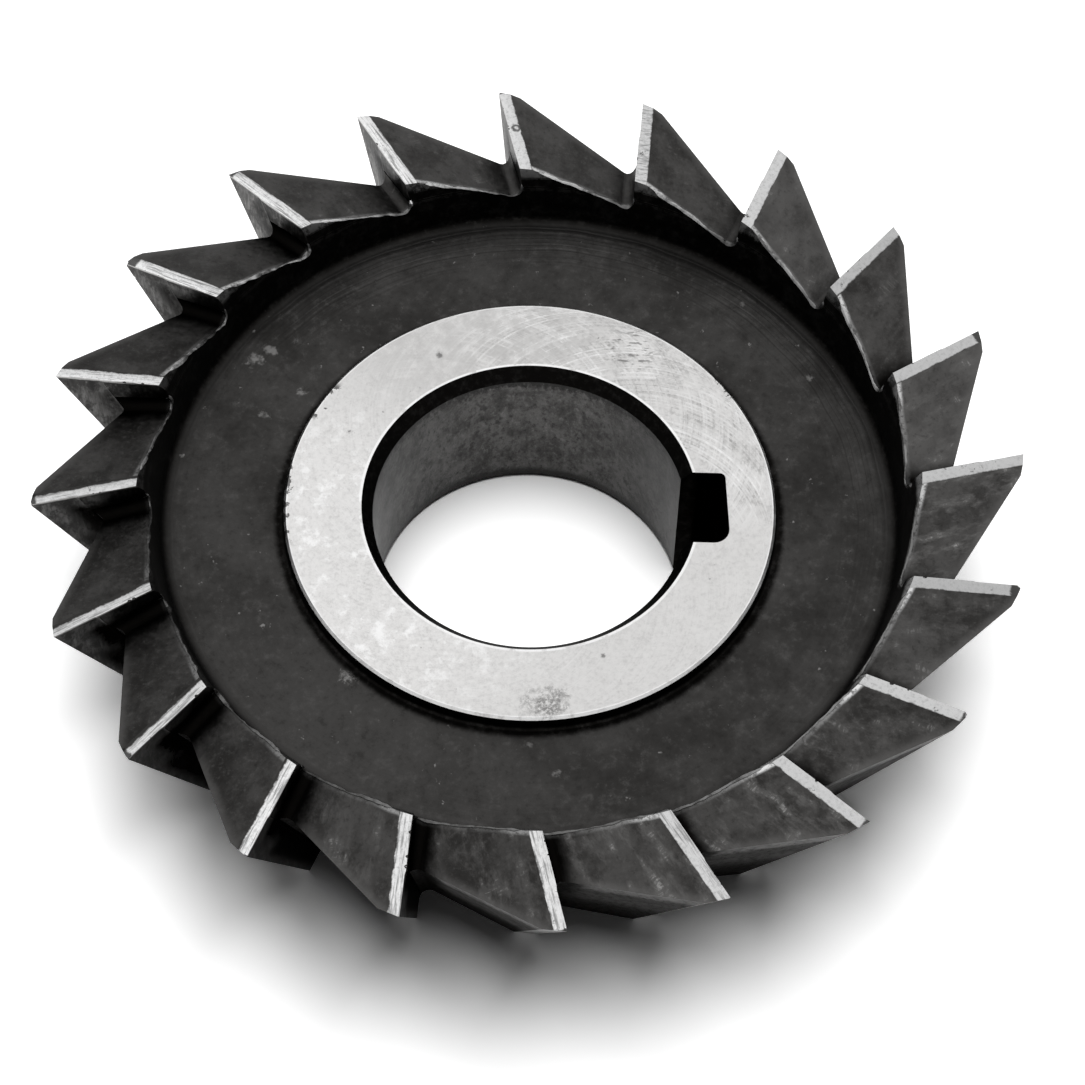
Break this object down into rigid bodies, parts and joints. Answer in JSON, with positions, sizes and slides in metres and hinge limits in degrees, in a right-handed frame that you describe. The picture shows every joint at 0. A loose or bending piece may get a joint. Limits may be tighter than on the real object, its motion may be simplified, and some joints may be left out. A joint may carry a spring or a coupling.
{
  "type": "single angle milling cutter",
  "caption": "Shell-type single angle milling cutter: a toothed disc with a 65 degree conical rim, toothed flat side, recessed web, raised hub, plain bore and keyway.",
  "frame": {"origin": "centre of the bore at the small end's flat face, which the cutter rests on", "axes": "+Z along the bore axis, from the small end to the toothed flat side; +X through the middle of the keyway"},
  "size_m": [0.0498, 0.0498, 0.012],
  "materials": {
    "steel": "dark oxide tool steel, ground bright on the hub face and on the teeth's lands"
  },
  "bodies": {
    "root": {"angle_cutter": "steel"}
  },
  "joints": []
}
